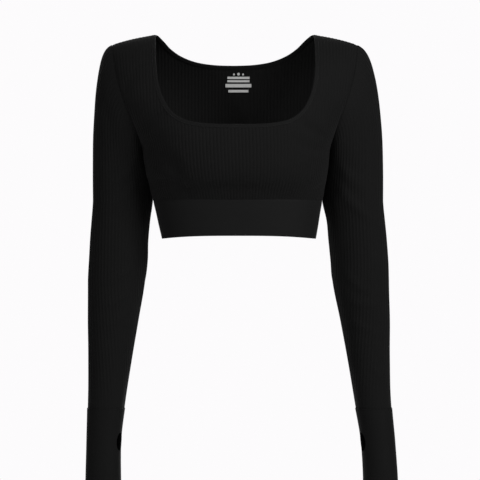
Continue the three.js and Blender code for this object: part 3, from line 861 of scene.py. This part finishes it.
def make_sleeve(name):
    side = SIDES[name]
    lower = np.arange(CUFF_TOP + JOIN_GAP, UPPER_ARM_Z, SLEEVE_ROW_SPACING)
    cap = np.linspace(0, 1, CAP_ROWS)[::-1] ** CAP_ROW_BIAS
    rows = np.concatenate([lower, cap])
    rib_columns = np.arange(-RIB_COLUMNS * SLEEVE_RIBS, RIB_COLUMNS * SLEEVE_RIBS + 1)
    points = []
    flat_map = []
    for row in rows:
        parts = sleeve_parts(side, row)
        places = sleeve_row(side, parts, row)
        normals = sleeve_normals(side, parts, row)
        z = places[:, 2]
        total = ring_curve(side, "front", row if row < 0 else UPPER_ARM_Z)[2][-1]
        across = parts * total
        to_inner = (1 - np.abs(parts)) * total
        above_cuff = z - CUFF_TOP
        into_cap = CAP_LENGTH * (row if row >= 0 else 1)
        off_underarm = smooth_share(1 - np.abs(parts), *SLEEVE_OFF_UNDERARM)
        height = (
            seam_dip(into_cap, *SLEEVE_ARMHOLE_DIP) * off_underarm
            + seam_dip(above_cuff, *CUFF_DIP)
            + seam_dip(to_inner, *SLEEVE_SIDE_DIP) * smooth_share(into_cap, *SLEEVE_SIDE_START)
            + RIB_HEIGHT * rib_profile(rib_columns)
            * faded(into_cap, *RIB_FADE_AT_ARMHOLE)
            * faded(to_inner, *RIB_FADE_AT_INNER_SEAM)
            * faded(above_cuff, *RIB_FADE_ABOVE_CUFF)
        )
        creased = crease_height(SLEEVE_CREASES[name], across, z)
        creased = creased + unevenness(across, z, SLEEVE_WAVES)
        creased = creased * smooth_share(into_cap, *SLEEVE_CREASE_START)
        creased = creased * faded(to_inner, SLEEVE_CREASE_FADE)
        points.append(places + normals * (height + creased)[:, None])
        flat_map.append(np.stack([rib_columns * RIB_PITCH / RIB_COLUMNS, z], axis=-1))
    bm = bmesh.new()
    shaped_grid(bm, np.array(points), np.array(flat_map))
    mesh = finish_mesh(bm, f"sleeve_{name}", weld=20 * WELD, flip=side > 0)
    return thicken(new_piece(f"rib_sleeve_{name}", mesh, RIB_KNIT), CLOTH)


# Rings round a line of points, from sizes in two directions at each
def rings_round(points, sideways, widths, upward, heights):
    across = sideways[:, None] * widths[..., None]
    return points[:, None] + across + upward[:, None] * heights[..., None]


# A closed path of closed rings
def closed_sweep(name, rings, flat_map, material):
    rings = np.concatenate([rings, rings[:1]], axis=0)
    flat_map = np.concatenate([flat_map, flat_map[-1:] * 2 - flat_map[-2:-1]], axis=0)
    return sweep(name, rings, flat_map, material)


# A row of closed rings, filled at both ends if they are open
def sweep(name, rings, flat_map, material):
    rings = np.concatenate([rings, rings[:, :1]], axis=1)
    flat_map = np.concatenate([flat_map, flat_map[:, -1:] * 2 - flat_map[:, -2:-1]], axis=1)
    bm = bmesh.new()
    shaped_grid(bm, rings, flat_map)
    bmesh.ops.remove_doubles(bm, verts=bm.verts, dist=WELD)
    bmesh.ops.holes_fill(bm, edges=[edge for edge in bm.edges if edge.is_boundary])
    bmesh.ops.recalc_face_normals(bm, faces=bm.faces)
    return new_piece(name, finish_mesh(bm, name), material)


# The folded binding: a rounded section with a shallow groove between its two sewn edges
BINDING_CORNERS = 22
BINDING_ROUNDNESS = (0.55, 0.7)
BINDING_GROOVE = (0.4, 0.9)


def make_binding():
    points, normals, away = neck_loop()
    turn = np.linspace(0, 2 * math.pi, BINDING_CORNERS, endpoint=False)
    half_width = BINDING_WIDTH / 2
    half_height = (BINDING_RAISE + BINDING_DEPTH) / 2
    middle = (BINDING_RAISE - BINDING_DEPTH) / 2
    from_edge = half_width + half_width * rounded(np.cos(turn), BINDING_ROUNDNESS[0])
    height = middle + half_height * rounded(np.sin(turn), BINDING_ROUNDNESS[1])
    groove = -seam_dip(from_edge - half_width, *BINDING_GROOVE)
    height -= np.where(np.sin(turn) > 0, groove, -groove)
    rings = rings_round(points, away, from_edge, normals, height)
    girth = 4 * (half_width + half_height)
    around = np.arange(1, BINDING_CORNERS + 1) * girth / BINDING_CORNERS
    flat_map = np.stack(np.meshgrid(lengths_along(points), around, indexing="ij"), axis=-1)
    return closed_sweep("folded_neck_binding", rings, flat_map, EDGE_KNIT)


# Stitches are small beads of thread laid along a line of places.
STITCH_PITCH = 3.0
STITCH_LENGTH = 2.3
STITCH_THICKNESS = 0.55
STITCH_INSET = 1.55
STITCH_LIFT = 0.02
STITCH_SLOPE = 0.2


def stitch_row(bm, points, normals):
    lengths = lengths_along(points)
    for i in range(int(lengths[-1] / STITCH_PITCH)):
        goals = [(i + 0.5 + step) * STITCH_PITCH for step in (-STITCH_SLOPE, 0, STITCH_SLOPE)]
        before, middle, after = (Vector(place) for place in at_lengths(points, lengths, goals))
        normal = Vector(at_lengths(normals, lengths, goals[1:2])[0])
        forward = (after - before).normalized()
        side = normal.cross(forward).normalized()
        turn = Matrix((forward, side, forward.cross(side))).transposed().to_4x4()
        thick = STITCH_THICKNESS / 2 * MM
        size = Matrix.Diagonal((STITCH_LENGTH / 2 * MM, thick, thick, 1))
        place = Matrix.Translation(middle * MM) @ turn @ size
        bmesh.ops.create_icosphere(bm, subdivisions=1, radius=1, matrix=place, calc_uvs=True)


def make_neck_stitches():
    points, normals, away = neck_loop()
    bm = bmesh.new()
    bm.loops.layers.uv.verify()
    for from_edge in (STITCH_INSET, BINDING_WIDTH - STITCH_INSET):
        raised = normals * (BINDING_RAISE + STITCH_LIFT)
        stitch_row(bm, points + away * from_edge + raised, normals)
    return new_piece("neck_stitching", new_mesh("neck_stitching", bm), THREAD)


# The double band: its section runs down the outside, round the folded hem, up the inside and
# over the top, as rows of level, height off the surface and drop.
BAND_COLUMNS = 150
BAND_ROWS = 22
BAND_FOLD_STEPS = 6
BAND_BELOW_SEAM = 0.02
BAND_ABOVE_HEM = 0.06
BAND_TOP_RISE = 0.5


def band_section():
    middle = (BAND_OUT - BAND_IN) / 2
    radius = (BAND_OUT + BAND_IN) / 2
    top, bottom = BAND_TOP - BAND_BELOW_SEAM, HEM + BAND_ABOVE_HEM
    levels = np.linspace(top, bottom, BAND_ROWS)
    fold = np.linspace(0, math.pi, BAND_FOLD_STEPS + 2)[1:-1]
    across = middle + radius * np.cos(fold)
    return [
        *((t, BAND_OUT, 0) for t in levels),
        *zip([bottom] * len(fold), across, radius * np.sin(fold)),
        *((t, -BAND_IN, 0) for t in levels[::-1]),
        *zip([top] * len(fold), across[::-1], -BAND_TOP_RISE * np.sin(fold[::-1])),
    ]


def make_band():
    half = np.linspace(-1, 1, BAND_COLUMNS + 1)
    rings = []
    for t, height, drop in band_section():
        loop = []
        for face, parts in (("front", half), ("back", half[::-1])):
            places = body_row(face, parts, t)
            to_edge = (1 - np.abs(parts)) * level_curve(face, t)[1][-1]
            z = places[:, 2]
            shift = seam_dip(to_edge, *BAND_SIDE_DIP) + unevenness(places[:, 0], z, BAND_WAVES)
            if height > 0:
                shift = shift + seam_dip(LEVELS[BAND_TOP, CENTRE_Z] - z, *BAND_TOP_DIP)
            places = places + body_normals(face, parts, t) * (height + shift)[:, None]
            places[:, 2] -= drop
            loop.append(places[:-1])
        rings.append(np.concatenate(loop))
    rings = np.array(rings)
    down, run = lengths_along(rings[:, 0]), lengths_along(rings[0])
    flat_map = np.stack(np.meshgrid(down, run, indexing="ij")[::-1], axis=-1)
    return closed_sweep("underbust_band", rings, flat_map, FINE_KNIT)


# Cuffs: a tube whose grid opens round the thumb hole, with a rolled edge there and at its end
CUFF_COLUMNS = 96
CUFF_RADIUS = 26
CUFF_HEM = (0.3, 1.6)
CUFF_HEM_AT = 2.2
HOLE_COLUMNS = 8
HOLE_ROWS = 10
HOLE_REACH = 2.6
HOLE_EDGE = 0.985
HOLE_HEM = (0.5, 0.16)


# The grid's square round the hole becomes an oval at its edge and stays square further out.
def open_hole(angle_shift, z_shift):
    square = np.maximum(np.abs(angle_shift), np.abs(z_shift))
    length = np.maximum(np.hypot(angle_shift, z_shift), TINY)
    blend = smooth_share(square, 1, HOLE_REACH)
    scale = (1 - blend) * np.maximum(square, TINY) / length + blend
    scale = np.where(square < HOLE_REACH, scale, 1)
    return angle_shift * scale, z_shift * scale


# Grid lines counted from the hole: even steps near it, then other even steps to the far end
def grid_lines(offsets, step, near, end):
    steps = np.abs(offsets)
    far_step = (end - near * step) / (steps.max() - near)
    beyond = near * step + (steps - near) * far_step
    return np.where(steps <= near, offsets * step, np.sign(offsets) * beyond)


# Shifts from the hole's centre, in half widths and half heights of the hole
def cuff_grid(half_angle):
    columns = np.arange(CUFF_COLUMNS + 1) - CUFF_COLUMNS // 2
    near = HOLE_COLUMNS / 2 * HOLE_REACH
    angles = grid_lines(columns, 2 * half_angle / HOLE_COLUMNS, near, math.pi)
    row_step = 2 * HOLE_HALF_HEIGHT / HOLE_ROWS
    near = HOLE_ROWS / 2 * HOLE_REACH
    below, above = HOLE_Z - CUFF_END, CUFF_TOP - HOLE_Z
    heights = np.concatenate([
        grid_lines(np.arange(-int(below / row_step), 0), row_step, near, below),
        grid_lines(np.arange(int(above / row_step) + 1), row_step, near, above),
    ])
    angle_grid, z_grid = np.meshgrid(angles, heights)
    return open_hole(angle_grid / half_angle, z_grid / HOLE_HALF_HEIGHT)


def cuff_point(side, angle, z, from_hole):
    z = min(max(z, CUFF_END), CUFF_TOP)
    grow = CUFF_OUT + seam_dip(z - CUFF_TOP, *CUFF_DIP)
    grow += unevenness(angle * CUFF_RADIUS, z, CUFF_WAVES)
    grow -= seam_dip(from_hole - 1, *HOLE_HEM)
    grow -= seam_dip(z - CUFF_END - CUFF_HEM_AT, *CUFF_HEM)
    return ring_points(side, ring_sizes(side, z), np.array([angle]), grow)[0]


def make_cuff(name):
    side = SIDES[name]
    half_angle = HOLE_HALF_WIDTH / ring_sizes(side, HOLE_Z)["deep"]
    u, v = cuff_grid(half_angle)
    angles = u * half_angle + HOLE_ANGLE
    heights = v * HOLE_HALF_HEIGHT + HOLE_Z
    points = np.array([
        [cuff_point(side, *place) for place in zip(*row)]
        for row in zip(angles, heights, np.hypot(u, v))
    ])
    flat_map = np.stack([(angles - HOLE_ANGLE) * CUFF_RADIUS, heights], axis=-1)
    bm = bmesh.new()
    shaped_grid(bm, points, flat_map)
    uv_layer = bm.loops.layers.uv.verify()
    gone = []
    for face in bm.faces:
        middle = sum((loop[uv_layer].uv for loop in face.loops), Vector((0, 0))) / len(face.loops)
        u_shift = middle.x / CUFF_RADIUS / half_angle
        v_shift = (middle.y - HOLE_Z) / HOLE_HALF_HEIGHT
        if math.hypot(u_shift, v_shift) < HOLE_EDGE:
            gone.append(face)
    bmesh.ops.delete(bm, geom=gone, context="FACES")
    mesh = finish_mesh(bm, f"cuff_{name}", weld=10 * WELD, flip=side < 0)
    return thicken(new_piece(f"smooth_cuff_{name}", mesh, CUFF_KNIT), CUFF_CLOTH)


# Overlocked seam allowances: flattened rolls on the inside of each seam, a little lumpy where
# the yarn wraps them
ROLL_WIDTH = 3.6
ROLL_HEIGHT = 1.5
ROLL_DEPTH = 1.7
ROLL_CORNERS = 12
ROLL_LUMPS = 0.12
ROLL_LUMP_LENGTH = 2.4
ROLL_STEP = 0.8
ARMHOLE_SEAM_STEPS = 60
SIDE_SEAM_LEVELS = (BAND_TOP + 0.05, UNDERARM - 0.1, 40)
SHOULDER_SEAM_PLACES = (122, 182, 40)


def seam_roll(name, points, normals, make):
    forward = unit(np.gradient(points, axis=0))
    sideways = unit(np.cross(normals, forward))
    turn = np.linspace(0, 2 * math.pi, ROLL_CORNERS, endpoint=False)
    run = lengths_along(points)
    size = 1 + ROLL_LUMPS * np.sin(run * 2 * math.pi / ROLL_LUMP_LENGTH)
    ring_x = np.cos(turn)[None, :] * ROLL_WIDTH / 2 * size[:, None]
    ring_y = np.sin(turn)[None, :] * ROLL_HEIGHT / 2 * size[:, None] - ROLL_DEPTH
    rings = rings_round(points, sideways, ring_x, normals, ring_y)
    around = np.arange(1, ROLL_CORNERS + 1) * 2 * ROLL_WIDTH / ROLL_CORNERS
    flat_map = np.stack(np.meshgrid(run, around, indexing="ij"), axis=-1)
    return make(name, rings, flat_map, SEAM_YARN)


def resampled(points, normals):
    lengths = lengths_along(points)
    goals = np.linspace(0, lengths[-1], int(lengths[-1] / ROLL_STEP) + 1)
    return at_lengths(points, lengths, goals), at_lengths(normals, lengths, goals)


def armhole_seam(name):
    side = SIDES[name]
    shares = np.linspace(0, 1, ARMHOLE_SEAM_STEPS)
    front, back = armhole(side, "front", shares), armhole(side, "back", shares)
    points = np.vstack([front, back[::-1][1:-1]])
    outward = points - points.mean(axis=0)
    outward[:, 0] = 0
    loop = np.vstack([points, points[:1]])
    points, normals = resampled(loop, unit(np.vstack([outward, outward[:1]])))
    return seam_roll(f"armhole_seam_{name}", points[:-1], unit(normals[:-1]), closed_sweep)


def side_seam(name):
    side = SIDES[name]
    levels = np.linspace(*SIDE_SEAM_LEVELS)
    points = np.vstack([body_row("front", np.array([side]), t) for t in levels])
    points[:, 1] = 0
    normals = np.tile([side, 0.0, 0.0], (len(points), 1))
    return seam_roll(f"side_seam_{name}", *resampled(points, normals), sweep)


def shoulder_seam(name):
    side = SIDES[name]
    half_x = np.linspace(*SHOULDER_SEAM_PLACES)
    points = face_points("front", half_x, SHOULDER + 0 * half_x)
    points[:, 0] *= side
    points = hung("front", points)
    points[:, 1] = 0
    normals = np.tile([0.0, 0.0, 1.0], (len(points), 1))
    return seam_roll(f"shoulder_seam_{name}", *resampled(points, normals), sweep)


# A print of plain bars and dots inside the back neck: left, top, width and height of each bar, and
# across, height and radius of each dot
PRINT_BARS = [
    [-17, -56.8, 34, 3.4],
    [-17, -62, 34, 3.0],
    [-20, -67.6, 40, 5.2],
    [-15.5, -76.6, 31, 3.8],
]
PRINT_DOTS = [[-7, -53.4, 1.5], [0, -52.9, 2.1], [7, -53.4, 1.5]]
PRINT_X = 8.5
PRINT_LIFT = 1.75
PRINT_COLUMNS = 19
BAR_ROWS = 5
DOT_ROWS = 4
DOT_CENTRE = 0.02


def inside_back(x, z):
    half_x = np.abs(x).ravel()
    points = face_points("back", half_x, level_at("back", half_x, z.ravel()))
    points[:, 0] *= np.where(x.ravel() < 0, -1, 1)
    return (hung("back", points) + [PRINT_X, -PRINT_LIFT, 0]).reshape(*x.shape, 3)


def make_print():
    bm = bmesh.new()
    grids = []
    for left, top, width, height in PRINT_BARS:
        across = np.linspace(left, left + width, PRINT_COLUMNS)
        grids.append(np.meshgrid(across, np.linspace(top, top - height, BAR_ROWS)))
    for dot_x, dot_z, radius in PRINT_DOTS:
        angles = np.linspace(0, 2 * math.pi, PRINT_COLUMNS)
        turn, out = np.meshgrid(angles, radius * np.linspace(DOT_CENTRE, 1, DOT_ROWS))
        grids.append((dot_x + out * np.cos(turn), dot_z + out * np.sin(turn)))
    for x, z in grids:
        shaped_grid(bm, inside_back(x, z), np.stack([x, z], axis=-1))
    bmesh.ops.recalc_face_normals(bm, faces=bm.faces)
    film = new_piece("inside_print", finish_mesh(bm, "inside_print"), PRINT_FILM)
    return thicken(film, PRINT_CLOTH)


panels = {face: make_panel(face) for face in FACES}
sleeves = {name: make_sleeve(name) for name in SIDES}
cuffs = {name: make_cuff(name) for name in SIDES}
band = make_band()
binding = make_binding()
neck_stitches = make_neck_stitches()
inside_print = make_print()
armhole_seams = {name: armhole_seam(name) for name in SIDES}
side_seams = {name: side_seam(name) for name in SIDES}
shoulder_seams = {name: shoulder_seam(name) for name in SIDES}

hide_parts("body_front")
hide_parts("body_back")
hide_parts("band_front", "band_back")
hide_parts("neck_binding")
for name in SIDES:
    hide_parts(f"sleeve_{name}")
    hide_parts(f"cuff_{name}_front", f"cuff_{name}_back")


# A pale paper floor under the top
FLOOR_HALF = 1.6
FLOOR_Z = -0.9
FLOOR_GREY = 0.7


def make_floor():
    material = bpy.data.materials.new("pale_paper")
    material.use_nodes = True
    feed(material.node_tree, material.node_tree.nodes["Principled BSDF"], {
        "Base Color": (FLOOR_GREY, FLOOR_GREY, FLOOR_GREY, 1),
        "Roughness": 0.9,
        "Specular IOR Level": 0.1,
    })
    bm = bmesh.new()
    bmesh.ops.create_grid(bm, x_segments=1, y_segments=1, size=FLOOR_HALF)
    floor = new_object("pale_floor", new_mesh("pale_floor", bm))
    floor.data.materials.append(material)
    floor.location = (0, 0, FLOOR_Z)


make_floor()

# Soft studio lamps: name, place, target, size and watts
SOFT_LAMPS = [
    ("key_right", (1.85, -2.0, 1.1), (0, 0, -0.34), (1.5, 1.3), 87),
    ("fill_front", (-0.3, -3.0, 0.9), (0, 0, -0.35), (1.6, 1.4), 12),
    ("fill_left", (-1.3, -1.8, 0.2), (-0.02, 0.05, -0.35), (0.6, 0.6), 11),
    ("back_left", (0.9, 2.7, 0.2), (0, 0, -0.3), (1.2, 1.0), 30),
    ("back_right", (-1.4, 2.4, 0.4), (0, 0, -0.3), (1.2, 1.0), 16),
]


def aimed(name, light, place, target):
    lamp = new_object(name, light)
    lamp.location = place
    direction = Vector(target) - Vector(place)
    lamp.rotation_euler = direction.to_track_quat("-Z", "Y").to_euler()
    lamp.visible_camera = False


for name, place, target, size, watts in SOFT_LAMPS:
    light = bpy.data.lights.new(name, "AREA")
    light.shape = "RECTANGLE"
    light.size, light.size_y = size
    light.energy = watts
    aimed(name, light, place, target)

# A narrow soft lamp for the inside of the back neck
neck_light = bpy.data.lights.new("fill_neck", "SPOT")
neck_light.spot_size = math.radians(7)
neck_light.spot_blend = 1
neck_light.shadow_soft_size = 0.12
neck_light.energy = 90
aimed("fill_neck", neck_light, (-1.2, -1.7, 0.36), (0.1, 0.08, -0.075))

# The camera sees white behind the top, while the cloth gets little light from there.
world = bpy.data.worlds.new("studio")
world.use_nodes = True
tree = world.node_tree
lit = {"Color": (1, 1, 1, 1), "Strength": 0.1}
seen = {"Color": (0.975, 0.965, 0.975, 1), "Strength": 1}
ray = tree.nodes.new("ShaderNodeLightPath")
chosen = feed(tree, tree.nodes.new("ShaderNodeMixShader"), {
    0: ray.outputs["Is Camera Ray"],
    1: feed(tree, tree.nodes["Background"], lit)[0],
    2: feed(tree, tree.nodes.new("ShaderNodeBackground"), seen)[0],
})
feed(tree, tree.nodes["World Output"], {0: chosen[0]})
bpy.context.scene.world = world
bpy.context.scene.view_settings.view_transform = "Standard"

camera_data = bpy.data.cameras.new("camera")
camera_data.sensor_width = 36
camera_data.lens = 160
camera = new_object("camera", camera_data)
camera.location = (0.006, -3.2, -0.30825)
camera.rotation_euler = (math.radians(90), 0, 0)
bpy.context.scene.camera = camera
